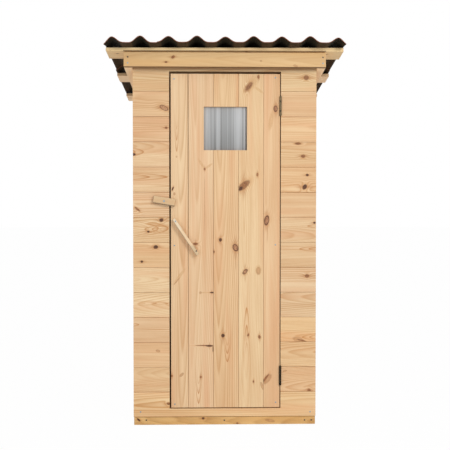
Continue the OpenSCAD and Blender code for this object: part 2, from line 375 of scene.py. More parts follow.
def pine(name, look, knots=(), arches=()):
    made, start, shader = newMaterial(name)
    grain, shade, along = (start.attribute(key) for key in ("grain", "shade", "along"))
    shape = knotShape

    def field(key):
        return grain.noise(*grainNoise[key])

    sway = field("sway") - 0.5
    length, across, depth = grain.parts()
    side = across + field("bend").about(look["sway"])
    radius = (side * side + depth * depth).root() + sway * look["wander"] - length * look["taper"]

    near = {}  # the gap to the closest knot of each style, 1 at its edge
    push = []
    tails = []

    def place(style, gap, size):
        near[style] = near[style].least(gap) if style in near else gap
        if knotStyles[style]["tailed"]:
            push.append((gap * gap * shape["push"]).maths("EXPONENT") * size)

    for x, y, halfLong, halfHigh, lean, style in knots:  # places in the grain's own space, metres
        gap = grain.local((x, y, 0), lean, (halfLong, halfHigh, 1e3)).length()
        place(style, gap, halfHigh * look["swell"])
        if knotStyles[style]["tailed"]:
            thin = min(halfLong, halfHigh)
            narrow = (shape["tailLong"] / thin, shape["tailWide"] / thin, 0)
            tails.append(grain.vector("SUBTRACT", (x, y, 0)).scaled(narrow).length())
    if look["wildKnots"]:  # scattered knots where none are listed
        cellLong, cellHigh = look["cell"]
        spot = grain.scaled((1 / cellLong, 1 / cellHigh, 0))
        cell = spot.node("ShaderNodeTexVoronoi", {"voronoi_dimensions": "2D"},
            {"Vector": spot, "Scale": 1.0, "Randomness": wild["scatter"]}, "Position")
        luck, size, spare = cell.beside("Color").parts()
        reach = size * wild["spread"] + wild["small"]
        away = cell.vector("SUBTRACT", spot).scaled((cellLong * wild["stretch"], cellHigh, 0))
        gap = away.length() / reach
        kind = luck / look["wildKnots"]
        for style, low, high in wild["shares"]:
            out = kind.maths("LESS_THAN", low) + kind.maths("GREATER_THAN", high)
            place(style, gap + out * wild["far"], reach * look["swell"])
    for lift in push:
        radius = radius + lift

    turn = (radius / look["ringGap"] + field("rings") * 1.6).fraction()
    late = turn ** 2.0 * turn.fall(0.80, 1.0)  # slow darkening, then a sharper edge
    strong = field("strong").ease(0.35, 0.7) * 0.7 + 0.3
    fibre, streak, cloud = field("fibre"), field("streak"), field("cloud")
    blush = field("blush").ease(0.45, 0.75)
    dark = (late * strong * look["ringMix"] + fibre.about(look["fibreMix"])
            + streak.about(look["streakMix"]) + cloud.about(look["cloudMix"]) + 0.24)
    colour = dark.clamped().blend(look["early"], look["late"])
    colour = (blush * look["blushMix"]).blend(colour, look["blush"])
    rough = 0.62 + late * 0.06

    lines = []
    for x, y, step, half, lean in arches:  # nested arches that close at (x, y)
        u, v, w = grain.local((x, y, 0), lean, (step, half, 1e3)).parts()
        inside = u + v * v + sway * 0.8
        line = inside.fraction()
        line = line ** 3.0 * line.fall(0.86, 1.0) * inside.fall(0.0, 0.03)
        lines.append(line * inside.ease(-3.2, -0.8) * v.absolute().fall(1.1, 2.2))
    if lines:
        colour = (mergeAll(lines, "MAXIMUM") * look["archMix"]).blend(colour, look["arch"])

    if near:
        speckle, mottle = field("speckle"), field("mottle")
        tailed = [gap for style, gap in near.items() if knotStyles[style]["tailed"]]
        if tailed:
            halo = mergeAll(tailed, "MINIMUM").fall(0.8, shape["haloReach"]) * shape["haloMix"]
            colour = halo.blend(colour, look["halo"])
        if tails:
            tail = mergeAll(tails, "MINIMUM").fall(0.0, shape["tailReach"])
            colour = (tail * (fibre * 0.5 + streak * 0.6)).blend(colour, look["tail"])
        for style in sorted(near, key=list(knotStyles).index, reverse=True):  # the darkest last
            gap, knot = near[style], knotStyles[style]
            edge = gap + speckle.about(shape["ragged"])
            core = edge.fall(0.62, 1.12) * knot["cover"]
            rim = (edge - shape["rimPlace"]).absolute().fall(0.0, knot["rimWide"]) * knot["rimCover"]
            rings = (gap * shape["ringCount"] + speckle * 4.0).maths("SINE") * 0.2
            heart = rings + mottle.about(2.2) + speckle.about(0.5) + 0.5
            colour = core.blend(colour, heart.clamped().blend(knot["pale"], knot["deep"]))
            colour = rim.blend(colour, knot["rim"])
            rough = rough - core * 0.12

    end = start.coord("Normal").vector("DOT_PRODUCT", along, out="Value").absolute().ease(0.75, 0.95)
    colour = (end * look["endMix"]).blend(colour, look["end"])
    bump = (fibre * 0.6 + (1 - late) * 0.4).bump(look["bump"], 0.0006)
    feed(shader, colour=colour.times(shade), rough=rough, normal=bump, gloss=0.3)
    return made


# boards: each has its own place in the timber, and its own tone

# brown and dusk serve below as painted shade
toneWords = dict(
    pale=(1.03, 1.04, 1.04), plain=(1.0, 1.0, 1.0), honey=(0.99, 1.015, 0.96), tan=(0.965, 0.955, 0.95),
    cream=(1.06, 1.12, 1.13), gold=(1.05, 1.07, 0.99), rose=(0.995, 0.953, 0.905), deep=(0.95, 0.90, 0.86),
    dull=(0.883, 0.837, 0.712), wheat=(1.04, 0.957, 0.863), straw=(0.845, 0.81, 0.72),
    brown=(0.62, 0.56, 0.50), dusk=(0.28, 0.23, 0.19))
anyTone = ("plain", "pale", "honey", "rose", "plain")
sawn = dict(step=6.7, spread=0.05, pithNear=0.015, pithFar=0.075, toneSpread=0.012, lean=0.05, calm=0.2)
paintedShadeAndTone = dict(edge=0.0005, wall=0.007, sill=0.0035, fascia=0.0042, batten=0.0065, battenFace=0.003)
dice = random.Random(11)
boardCount = 0


def always(word):
    return lambda middle, number: word


def islandsOf(mesh):  # the separate boards in one mesh
    leader = list(range(len(mesh.vertices)))

    def find(a):
        while leader[a] != a:
            leader[a] = leader[leader[a]]
            a = leader[a]
        return a
    for edge in mesh.edges:
        a, b = find(edge.vertices[0]), find(edge.vertices[1])
        if a != b:
            leader[a] = b
    groups = {}
    for index in range(len(leader)):
        groups.setdefault(find(index), []).append(index)
    return sorted(groups.values())


def markGrain(obj, along, across, tones=None, lean=sawn["lean"]):
    global boardCount
    mesh = obj.data
    along, across = Vector(along).normalized(), Vector(across).normalized()
    depth = along.cross(across)
    grain = [0.0] * (3 * len(mesh.vertices))
    shade = list(grain)
    axis = [value for point in mesh.vertices for value in along]
    jitter = sawn["toneSpread"]
    found = []
    for number, group in enumerate(islandsOf(mesh)):
        points = [mesh.vertices[i].co for i in group]
        low = Vector(min(p[k] for p in points) for k in range(3))
        high = Vector(max(p[k] for p in points) for k in range(3))
        middle = (low + high) / 2
        boardCount += 1
        shift = Vector((boardCount * sawn["step"] + dice.uniform(0, 1),
            dice.uniform(-sawn["spread"], sawn["spread"]),
            dice.choice((-1, 1)) * dice.uniform(sawn["pithNear"], sawn["pithFar"])))
        word = tones(middle, number) if tones else dice.choice(anyTone)
        colour = [value + dice.uniform(-jitter, jitter) for value in toneWords[word]]
        calm = sawn["calm"] if word in ("deep", "honey") else 1.0
        tilt = dice.uniform(-lean, lean) * calm  # a slanting pith closes the rings into arches
        for i, p in zip(group, points):
            off = p - middle
            u, v, w = off.dot(along), off.dot(across), off.dot(depth)
            grain[3 * i:3 * i + 3] = (u + shift.x, v + shift.y, w + shift.z + tilt * u)
            shade[3 * i:3 * i + 3] = colour
        found.append(dict(low=low, high=high, middle=middle, shift=shift, along=along, across=across,
            points=group))
    for name, values in (("grain", grain), ("shade", shade), ("along", axis)):
        mesh.attributes.new(name, "FLOAT_VECTOR", "POINT").data.foreach_set("vector", values)
    return found


def paintBeyond(obj, point, normal, word, place=Matrix(), within=math.inf):  # a new tone painted beyond a plane; most uses below paint shade
    point, normal = splitAt(obj, point, normal, place)
    for vertex, shade in zip(obj.data.vertices, obj.data.attributes["shade"].data):
        if (vertex.co - point).dot(normal) > paintedShadeAndTone["edge"] and abs(vertex.co.x) < within:
            shade.vector = Vector(toneWords[word])


def byStyle(**styles):
    return [(*row, style) for style, rows in styles.items() for row in rows]


def knotsOn(boards, places):  # from places on the front, in mm, to the boards' own grain
    found = []
    for x, z, halfLong, halfHigh, lean, *style in places:
        for board in boards:
            low, high, middle = board["low"], board["high"], board["middle"]
            if low.x <= x / 1000 <= high.x and low.z <= z / 1000 <= high.z:
                off = Vector((x / 1000, middle.y, z / 1000)) - middle
                u = off.dot(board["along"]) + board["shift"].x
                v = off.dot(board["across"]) + board["shift"].y
                found.append((u, v, halfLong / 1000, halfHigh / 1000, math.radians(lean), *style))
                break
    return found


def dressBoards(obj, name, look, boards, places, arches, groupOf):  # one pine for each group of boards
    groups = {}
    for board in boards:
        groups.setdefault(groupOf(board["middle"]), []).append(board)
    slotOf = {}
    for slot, key in enumerate(sorted(groups)):
        group = groups[key]
        skin = pine(name + str(key), look, knotsOn(group, places), knotsOn(group, arches))
        obj.data.materials.append(skin)
        for board in group:
            slotOf.update((point, slot) for point in board["points"])
    for face in obj.data.polygons:
        face.material_index = slotOf[face.vertices[0]]


def finishPiece(obj, material, body, slot, *nodes):
    if not obj.data.materials:
        obj.data.materials.append(material)
    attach(obj, body)
    if nodes:
        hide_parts(*nodes)
    return obj


# camera and studio

view = dict(focalPixels=736.0, picturePixels=450, sensor=36, place=(-0.0836, -4.52, 1.2), turn=1.206,
    tip=-1.44)
studio = dict(skyLight=0.53, key=106.0, keyPlace=(2.2, -5.2, 3.1), keySize=1.4,
    fill=44.0, fillPlace=(-2.0, -5.2, 0.6), fillSize=2.6, aim=(0, -0.3, 1.0),
    floorLift=0.98, floorTint=0.93, floorRadius=40)


def addCamera():
    turn = (math.radians(90 + view["tip"]), 0, math.radians(-view["turn"]))
    camera = addThing("camera", bpy.ops.object.camera_add, location=view["place"], rotation=turn)
    camera.data.sensor_width = view["sensor"]
    camera.data.lens = view["focalPixels"] / view["picturePixels"] * view["sensor"]
    bpy.context.scene.camera = camera


def addLamp(name, place, size, power):
    lamp = addThing(name, bpy.ops.object.light_add, type="AREA", location=place)
    lamp.data.size = size
    lamp.data.energy = power
    lamp.rotation_euler = (Vector(studio["aim"]) - Vector(place)).to_track_quat("-Z", "Y").to_euler()


def seenOnly(start):  # 1 for rays that show the backdrop itself
    path = start.node("ShaderNodeLightPath", {}, {}, "Is Camera Ray")
    return path.most(path.beside("Is Glossy Ray")).most(path.beside("Is Transmission Ray"))


def addStudio():
    world = bpy.data.worlds.new("studio")
    bpy.context.scene.world = world
    world.use_nodes = True
    strength = seenOnly(Wire(world.node_tree)) * (1 - studio["skyLight"]) + studio["skyLight"]
    back = world.node_tree.nodes["Background"]
    back.inputs["Color"].default_value = (1, 1, 1, 1)
    world.node_tree.links.new(strength.socket, back.inputs["Strength"])
    for lamp in ("key", "fill"):
        addLamp(lamp + "Lamp", studio[lamp + "Place"], studio[lamp + "Size"], studio[lamp])
    ground = addThing("studioFloor", bpy.ops.mesh.primitive_circle_add, vertices=96,
        radius=studio["floorRadius"], fill_type="NGON")
    made, start, shader = newMaterial("studioFloor")
    feed(shader, colour=(studio["floorTint"],) * 3 + (1,), rough=0.9, gloss=0.0)
    glow = start.node("ShaderNodeEmission", {}, {"Color": (1, 1, 1, 1), "Strength": 1.0})
    mixed = start.node("ShaderNodeMixShader", {}, {0: seenOnly(start) * studio["floorLift"],
        1: Wire(start.tree, shader.outputs[0]), 2: glow})
    start.tree.links.new(mixed.socket, start.tree.nodes["Material Output"].inputs["Surface"])
    ground.data.materials.append(made)
    ground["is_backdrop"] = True


addCamera()
addStudio()
bpy.context.scene.view_settings.view_transform = "Standard"
print("camera and studio set")


# walls, door and floor: tongued boards laid row on row

boards = dict(cover=0.137, thick=0.020, gap=0.0011, chamfer=0.0020, tongueThick=0.006, tongueHigh=0.007,
    tonguePlace=0.45, tongueTaper=0.8, grooveDeep=0.0078)
body = dict(half=0.5, foot=0.045, top=2.025, pitch=5.5, wallRows=15, floorRows=7, lean=0.09)
opening = dict(left=0.001, top=0.0045, foot=0.045, through=(-0.6, -0.4), jambNear=0.4, lintelAbove=1.9)
slope = math.radians(body["pitch"])


def boardPanel(name, length, rows):  # boards along X, faces to -Y at y = 0, first row from z = 0
    b = boards
    half, edge = length / 2, b["gap"] / 2
    board = addBox(name, (-half, 0, edge), (half, b["thick"], b["cover"] - edge))
    middle = b["thick"] * b["tonguePlace"]
    for y in (middle - b["tongueThick"] / 2, middle + b["tongueThick"] / 2):
        splitAt(board, (0, y, 0), (0, 1, 0))
    chooseFaces(board, lambda c, n: n.z > 0.9 and abs(c.y - middle) < 0.001)
    bpy.ops.mesh.extrude_region_move(TRANSFORM_OT_translate={"value": (0, 0, b["tongueHigh"])})
    bpy.ops.transform.resize(value=(1, b["tongueTaper"], 1), center_override=(0, middle, b["cover"]))
    setMode("OBJECT")
    chooseFaces(board, lambda c, n: n.z < -0.9 and abs(c.y - middle) < 0.001)
    bpy.ops.mesh.extrude_region_move(TRANSFORM_OT_translate={"value": (0, 0, b["grooveDeep"])})
    setMode("OBJECT")
    chooseEdges(board, lambda p, q: abs(p.y) < 1e-5 and abs(q.y) < 1e-5 and abs(p.z - q.z) < 1e-5)
    bevelChosen(b["chamfer"], 2)
    repeat(board, rows, (0, 0, b["cover"]))
    return board


def placePanel(panel, turn, place):
    panel.rotation_euler = [math.radians(value) for value in turn]
    panel.location = place
    settle(panel)


def roofHeight(y):
    return body["top"] - (y + body["half"]) * math.tan(slope)


def trimToRoof(panel):
    cutAway(panel, (0, -body["half"], body["top"]), (0, math.sin(slope), math.cos(slope)))


def cutThrough(panel, left, bottom, right, top):  # a hole right through a panel at the front
    front, back = opening["through"]
    cutOut(panel, (left, front, bottom), (right, back, top))


leftTones = "gold rose rose plain cream cream rose pale plain plain plain deep deep honey honey".split()
rightTones = "gold rose rose gold tan plain tan tan deep rose deep rose deep honey honey".split()
wallKnots = byStyle(
    dark=[(-494, 1483, 9, 7, 0), (-346, 1126, 11, 9.5, 25), (-417, 1063, 7, 5.5, 0),
        (-377, 979, 12.5, 10, 15), (-453, 899, 7.5, 6, 0), (451, 1372, 8, 7, 0), (437, 1307, 11, 15, -30),
        (491, 1111, 6.5, 6, 0)],
    red=[(-319, 1628, 7, 6, 0), (-476, 1185, 18, 5, -40), (-309, 118, 10, 7, 0), (444, 1902, 13, 12.5, 0),
        (400, 1543, 16, 6, 0), (428, 1475, 12, 8.5, 0), (451, 819, 11, 9, 0), (464, 189, 9, 8, -30),
        (424, 464, 26, 3, -14)],
    hollow=[(-331, 1736, 25, 12, -28)],
    soft=[(-366, 409, 11, 7, -20), (405, 468, 30, 13, -15), (331, 296, 11, 4, 10)])
wallArches = [
    (-305, 1361, 97, 16, 0), (-437, 1497, 45, 20, 0), (-306, 1080, 55, 26, 0), (-437, 1076, 40, 16, 180),
    (-306, 671, 62, 9, 0), (-464, 554, 40, 10, 0), (452, 1093, 45, 10, 180), (406, 968, 50, 12, 180),
    (425, 482, 40, 14, 180)]
jambShadeLook = dict(wallLook, early=(160, 120, 84), late=(112, 78, 50), end=(120, 83, 52), endMix=0.85)


def frontTone(middle, number):
    row = min(body["wallRows"] - 1, int((middle.z - body["foot"]) / boards["cover"]))
    return (leftTones if middle.x < 0 else rightTones)[row]


low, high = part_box("front_wall_head")
frontWall = boardPanel("frontBoards", 2 * body["half"], body["wallRows"])
placePanel(frontWall, (0, 0, 0), (0, -body["half"], body["foot"]))
trimToRoof(frontWall)
cutThrough(frontWall, low.x - opening["left"], body["foot"] + opening["foot"],
    high.x, low.z + opening["top"])
frontBoards = markGrain(frontWall, (1, 0, 0), (0, 0, 1), frontTone, body["lean"])
dressBoards(frontWall, "frontPine", wallLook, frontBoards, wallKnots, wallArches,
    lambda middle: int(middle.x > 0))
frontWall.data.materials.append(pine("jambShadePine", jambShadeLook))
for face in frontWall.data.polygons:  # the cut ends round the door are painted dark, as painted shade
    lintel = face.normal.z < -0.9 and face.center.z > opening["lintelAbove"]
    if abs(face.center.x) < opening["jambNear"] and (abs(face.normal.x) > 0.9 or lintel):
        face.material_index = 2
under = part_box("front_fascia")[0].z
splitAt(frontWall, (0, 0, under), (0, 0, 1))
paintBeyond(frontWall, (0, 0, under - paintedShadeAndTone["wall"]), (0, 0, 1), "brown")  # painted shade in the corner below the fascia
finishPiece(frontWall, None, "cabin", "wall_pine",
    "front_wall_left", "front_wall_right", "front_wall_head", "front_wall_foot")

plainPine = pine("wallPine", plainLook)
inside = body["half"] - boards["thick"]
for name, node, turn, x, y, length in (
        ("leftBoards", "left_wall", -90, -body["half"], 0, 2 * inside),
        ("rightBoards", "right_wall", 90, body["half"], 0, 2 * inside),
        ("rearBoards", "rear_wall", 180, 0, body["half"], 2 * body["half"])):
    wall = boardPanel(name, length, body["wallRows"])
    placePanel(wall, (0, 0, turn), (x, y, body["foot"]))
    trimToRoof(wall)
    markGrain(wall, (1, 0, 0) if turn == 180 else (0, 1, 0), (0, 0, 1))
    finishPiece(wall, plainPine, "cabin", "wall_pine", node)

low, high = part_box("floor")
floorPine = pine("floorPine", dict(plainLook, early=(228, 196, 150)))
floorBoards = boardPanel("floorBoards", high.x - low.x, body["floorRows"])
placePanel(floorBoards, (-90, 0, 0), (0, low.y, high.z))
cutAway(floorBoards, (0, high.y, 0), (0, 1, 0))
markGrain(floorBoards, (1, 0, 0), (0, 1, 0))
finishPiece(floorBoards, floorPine, "cabin", "frame_pine", "floor")
print("walls and floor boarded")

door = dict(columns=5, lean=0.03, firstJoint=-0.199, openJoint=0.0022, openShare=0.2, openAbove=1.0,
    jointShadeNear=0.012, jointShadeDeep=(0.003, 0.0125), window=(-0.1145, 1.507, 0.1215, 1.743))
doorTones = ("plain", "plain", "rose", "pale", "rose")
doorKnots = byStyle(
    dark=[(-284, 1297, 12, 4, 25), (87, 1298, 12, 8, 50), (-24, 1018, 10, 8.5, 0), (-10, 492, 10, 9.5, 0),
        (-84, 436, 5, 20, 0), (-71, 729, 4, 11, 0), (-65, 418, 16, 2, 0)],
    red=[(-160, 996, 6, 14, 0), (-116, 438, 2.6, 42, 0), (-290, 271, 5, 5, 0), (-132, 264, 6, 5.5, 0),
        (-110, 1404, 7, 5, 0), (131, 1853, 26, 10, 38), (183, 1905, 9, 6.5, 0), (103, 1314, 40, 16, 50),
        (178, 1374, 9, 5.5, 0), (-59, 952, 6, 4, 0), (128, 495, 8, 5, 25), (190, 484, 10, 7, -20),
        (224, 255, 29, 5, 36), (158, 238, 6, 4.5, 0)],
    ring=[(277, 1733, 16, 11, 0), (58, 975, 20, 14, -25), (229, 1124, 26, 13, 10), (111, 843, 17, 9, 45)],
    soft=[(-263, 1471, 5, 4, 0), (-275, 1269, 8, 6, 0), (-134, 728, 7, 6, 0), (-237, 277, 14, 7, 45),
        (129, 1851, 34, 15, 38), (184, 848, 20, 12, 0), (234, 251, 31, 14, 38), (205, 213, 22, 7, -20),
        (-262, 792, 26, 3, 40), (-110, 1220, 150, 1.6, 0), (233, 1055, 48, 1.6, 2),
        (61, 905, 52, 1.6, 0)],
    faint=[(-103, 729, 4, 34, 0), (152, 1900, 20, 7, 8), (186, 1834, 34, 8, -54),
        (-128, 1433, 36, 8, -32), (-88, 1420, 29, 7, 54), (184, 852, 30, 19, 0), (150, 1870, 50, 26, 30),
        (252, 1668, 60, 14, 10), (-247, 820, 62, 9, 37)])
doorArches = [
    (-144, 111, 55, 12, 180), (-262, 1503, 60, 9, 180), (14, 340, 45, 14, 180), (120, 640, 90, 14, 0)]


def doorColumn(middle):
    column = int((middle.x - door["firstJoint"]) // boards["cover"]) + 1
    return max(0, min(door["columns"] - 1, column))


low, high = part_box("door_leaf")
doorLeaf = boardPanel("doorBoards", high.z - low.z, door["columns"])
placePanel(doorLeaf, (0, 90, 0), (door["firstJoint"] - boards["cover"], low.y, (low.z + high.z) / 2))
firstBoard = doorLeaf.data.vertices[:len(doorLeaf.data.vertices) // door["columns"]]
for point in firstBoard:  # the first joint stands open, more so at the top
    point.co.x -= door["openJoint"] * (1.0 if point.co.z > door["openAbove"] else door["openShare"])
cutAway(doorLeaf, (low.x, 0, 0), (-1, 0, 0))
cutAway(doorLeaf, (high.x, 0, 0), (1, 0, 0))
cutThrough(doorLeaf, *door["window"])
doorBoards = markGrain(doorLeaf, (0, 0, 1), (1, 0, 0), lambda middle, number: doorTones[doorColumn(middle)],
    door["lean"])
near, far = door["jointShadeDeep"]
for point, shade in zip(doorLeaf.data.vertices, doorLeaf.data.attributes["shade"].data):
    beside = abs(point.co.x - door["firstJoint"]) < door["jointShadeNear"]
    if beside and near < point.co.y - low.y < far and point.co.z > door["openAbove"]:
        shade.vector = Vector(toneWords["dusk"])  # painted shade deep in the open joint
dressBoards(doorLeaf, "doorPine", doorLook, doorBoards, doorKnots, doorArches, doorColumn)
finishPiece(doorLeaf, None, "door", "door_pine", "door_leaf")
print("door boarded")


# timbers: planed, with eased edges

timbers = dict(side=0.045, rafterHigh=0.085, ease=0.0028, thinEase=0.0018)
alongX, alongY, alongZ = ((1, 0, 0), (0, 0, 1)), ((0, 1, 0), (0, 0, 1)), ((0, 0, 1), (1, 0, 0))
side = timbers["side"]
framePine = pine("framePine", frameLook)
basePine = pine("basePine", dict(baseLook, wildKnots=0.5, cell=(0.28, 0.09)))
# a paler copy of the frame pine, as painted light for rafters and battens lit from below
litFrameLook = dict(frameLook, early=(255, 229, 192), late=(242, 202, 154), blush=(248, 212, 168),
    wildKnots=0.2)
litFramePine = pine("litFramePine", litFrameLook)
fasciaLook = dict(wallLook, early=(235, 204, 153), late=(194, 146, 92), blush=(228, 184, 124),
    ringMix=0.5)
fasciaKnots = byStyle(
    red=[(-278, 1999, 10, 7, 40), (-316, 1972, 7, 4.5, 0)],
    soft=[(193, 1980, 6, 4, 0), (378, 1954, 12, 6, -20)])
sillKnots = byStyle(
    dark=[(-473, 29, 12, 5, -45), (-119, 35, 7, 6, 0)],
    red=[(69, 7, 6, 5, 0)],
    soft=[(249, 21, 26, 8, -10)])


def planed(name, boxes, ways, ease=timbers["ease"], trim=False, tones=None):
    obj = joinAll([addBox(name, low, high) for low, high in boxes], name)
    if trim:
        trimToRoof(obj)
    easeEdges(obj, ease)
    return obj, markGrain(obj, *ways, tones)


def leaning(name, sides, y, tall):  # follows the roof's slope, with upright ends
    made = []
    for left, right in sides:
        obj = addBox(name, (left, y[0], roofHeight(y[0]) - tall), (right, y[1], roofHeight(y[0])))
        for point in obj.data.vertices:
            if point.co.y > (y[0] + y[1]) / 2:
                point.co.z += roofHeight(y[1]) - roofHeight(y[0])
        made.append(obj)
    obj = joinAll(made, name)
    easeEdges(obj, timbers["ease"])
    markGrain(obj, (0, math.cos(slope), -math.sin(slope)), (0, math.sin(slope), math.cos(slope)))
    return obj


def addTimber(name, node, ways, boxes=None, skin=framePine, slot="frame_pine", **more):
    finishPiece(planed(name, boxes or [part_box(node)], ways, **more)[0], skin, "cabin", slot, node)


def twoSides(node):  # a left and a right timber in one box
    low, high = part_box(node)
    return [(low, (low.x + side, high.y, high.z)), ((high.x - side, low.y, low.z), high)]


sill, sillBoards = planed("frontSillTimber", [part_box("front_sill")], alongX)
# painted shade along the sill's top edge, below the boards
paintBeyond(sill, (0, 0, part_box("front_sill")[1].z - paintedShadeAndTone["sill"]), (0, 0, 1), "brown")
sillPine = pine("sillPine", baseLook, knotsOn(sillBoards, sillKnots))
finishPiece(sill, sillPine, "cabin", "base_pine", "front_sill")
for node, ways in (("rear_sill", alongX), ("left_joist", alongY), ("middle_joist", alongY),
        ("right_joist", alongY)):
    addTimber(node + "Timber", node, ways, skin=basePine, slot="base_pine")
for node in ("front_left_post", "front_right_post", "rear_left_post", "rear_right_post"):
    addTimber(node + "Timber", node, alongZ, trim=True)
# dusk on the front top rail is painted shade, seen through the gap above the door
for node, word in (("front_bottom_rail", "plain"), ("rear_bottom_rail", "plain"),
        ("front_top_rail", "dusk"), ("rear_top_rail", "plain")):
    addTimber(node + "Timber", node, alongX, tones=always(word))
addTimber("doorPostTimbers", "door_posts", alongZ, twoSides("door_posts"))
# dusk on the stop lath is painted shade, seen through the door's side gaps
addTimber("doorStopLath", "door_stop", alongZ, ease=timbers["thinEase"], tones=always("dusk"))
addTimber("sideBottomRails", "side_bottom_rails", alongY, twoSides("side_bottom_rails"))
low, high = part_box("side_top_rails")
topRails = leaning("sideTopRails", [(low.x, low.x + side), (high.x - side, high.x)], (low.y, high.y), side)
finishPiece(topRails, framePine, "cabin", "frame_pine", "side_top_rails")
for node in ("left_rafter", "right_rafter"):
    low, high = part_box(node)
    tall = timbers["rafterHigh"] / math.cos(slope)
    rafter = leaning(node + "Timber", [(low.x, high.x)], (low.y, high.y), tall)
    finishPiece(rafter, litFramePine, "cabin", "frame_pine", node)
low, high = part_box("front_fascia")
fascia, fasciaBoards = planed("frontFasciaBoard", [(low, high)], alongX, timbers["thinEase"])
paintBeyond(fascia, (0, 0, low.z + paintedShadeAndTone["fascia"]), (0, 0, -1), "dusk")  # painted shade along the lower edge
fasciaPine = pine("fasciaPine", fasciaLook, knotsOn(fasciaBoards, fasciaKnots))
finishPiece(fascia, fasciaPine, "cabin", "wall_pine", "front_fascia")
addTimber("rearFasciaBoard", "rear_fascia", alongX, skin=plainPine, slot="wall_pine",
    ease=timbers["thinEase"])
print("frame timbers planed")


# roof: battens and corrugated sheets

roof = dict(eave=-0.644, overhang=0.084, overlap=0.230,
    battenWide=0.145, battenThick=0.018, battenHalf=0.637, battenRise=0.0036, battenSeat=0.0001,
    sheetHalf=0.639, sheetThick=0.0034, sheetSeat=0.0002, rearStep=0.003, edgeTrim=0.0031,
    wave=0.149, crest=0.030, looseCrest=0.006, crestGain={-2: 0.004, 0: 0.002, 2: 0.004},
    eaveDroop=0.0005, leftDroop=0.017, rightDroop=0.0115, cornerStart=0.600, ripple=0.0006,
    sideLap=-0.355, lapRise=0.0034, lapEnd=0.60, lapFade=0.05, lapStep=0.0038,
    columns=258, rows=30, smooth=0.9)
eaveHeight = roofHeight(roof["eave"]) + roof["battenSeat"]
onRoof = Matrix.Translation((0, roof["eave"], eaveHeight)) @ Matrix.Rotation(-slope, 4, "X")
slopeLong = -2 * roof["eave"] / math.cos(slope)
frontBatten = roof["overhang"] / math.cos(slope)
battenStarts = {"front_batten": frontBatten, "middle_batten": (slopeLong - roof["battenWide"]) / 2,
    "rear_batten": slopeLong - frontBatten - roof["battenWide"]}
battenLook = dict(frameLook, early=(247, 220, 171), late=(206, 155, 92), wildKnots=0.0)
battenKnots = [(-0.580, -0.020, 0.008, 0.005, 0, "dark"), (0.550, -0.020, 0.009, 0.005, 0, "red"),
    (0.115, -0.064, 0.006, 0.006, 0, "red")]  # metres from the batten's middle

for node, start in battenStarts.items():
    half = roof["battenHalf"]
    obj = addBox(node + "Board", (-half, start, 0), (half, start + roof["battenWide"], roof["battenThick"]))
    isFront = node == "front_batten"
    if isFront:  # thicker towards its right end, under the lapped sheet
        for point in obj.data.vertices:
            if point.co.z > 0 and point.co.x > 0:
                point.co.z += roof["battenRise"]
    obj.matrix_world = onRoof
    settle(obj)
    easeEdges(obj, timbers["thinEase"])
    shift = markGrain(obj, (1, 0, 0), (0, math.cos(slope), -math.sin(slope)))[0]["shift"]
    skin = litFramePine
    if isFront:
        # painted shade along the lower front edge, over the fascia's length
        reach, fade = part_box("front_fascia")[1].x, paintedShadeAndTone["battenFace"]
        for x in (-reach - fade, -reach, reach, reach + fade):
            splitAt(obj, (x, 0, 0), (1, 0, 0))
        slant = Vector((0, -1, -1)).normalized()
        paintBeyond(obj, (0, start, paintedShadeAndTone["batten"]), slant, "dusk", onRoof, reach + fade / 2)
        knots = [(x + shift.x, y + shift.y, *rest) for x, y, *rest in battenKnots]
        skin = pine("frontBattenPine", battenLook, knots)
    else:
        # painted shade on the front face
        paintBeyond(obj, (0, start + paintedShadeAndTone["battenFace"], 0), (0, -1, 0), "brown", onRoof)
    finishPiece(obj, skin, "cabin", "frame_pine", node)


def share(value):
    return max(0.0, min(1.0, value))


def waveHeight(x, lapped=False):  # from the side lap to the right, a lapped sheet lies higher
    k = round(x / roof["wave"])
    crest = roof["crest"] + (roof["looseCrest"] if k % 2 else 0)
    floor = 0.0
    if lapped and x > roof["sideLap"]:
        floor = roof["lapRise"] * share((roof["lapEnd"] - x) / roof["lapFade"])
        crest += roof["crestGain"].get(k, 0.0)
    return floor + (crest - floor) * math.cos(math.pi * (x / roof["wave"] - k)) ** 4


def bitumen():  # brown fibre sheet, matt
    made, start, shader = newMaterial("roofSheet")
    place = start.coord()
    felt = place.noise((420, 300, 420), 3, 0.7)
    patch = place.noise((7, 3, 7), 3, 0.6)
    rub = place.noise((60, 6, 60), 2, 0.5)
    tone = felt.about(0.7) + patch.about(0.6) + rub.about(0.5) + 0.42
    colour = tone.blend((42, 32, 22), (90, 72, 52))
    x, y, up = start.coord("Normal").parts()
    under = up.fall(-0.25, 0.1)  # painted shade, nearly black, inside the crests near the eave
    crestShade = under * start.attribute("crest", "Fac").ease(0.05, 0.25) * 0.9
    colour = crestShade.blend(colour, (32, 30, 23))
    feed(shader, colour=colour, rough=0.72 + patch.about(0.3), normal=felt.bump(0.4, 0.0008), gloss=0.1)
    return made


def rawEdge():  # the red-brown cut edge
    made, start, shader = newMaterial("sheetEdge")
    felt = start.coord().noise((500, 500, 900), 3, 0.7)
    feed(shader, colour=felt.ease(0.3, 0.7).blend((108, 62, 42), (160, 98, 68)), rough=0.85)
    return made


sheetSkin, sheetEdge = bitumen(), rawEdge()


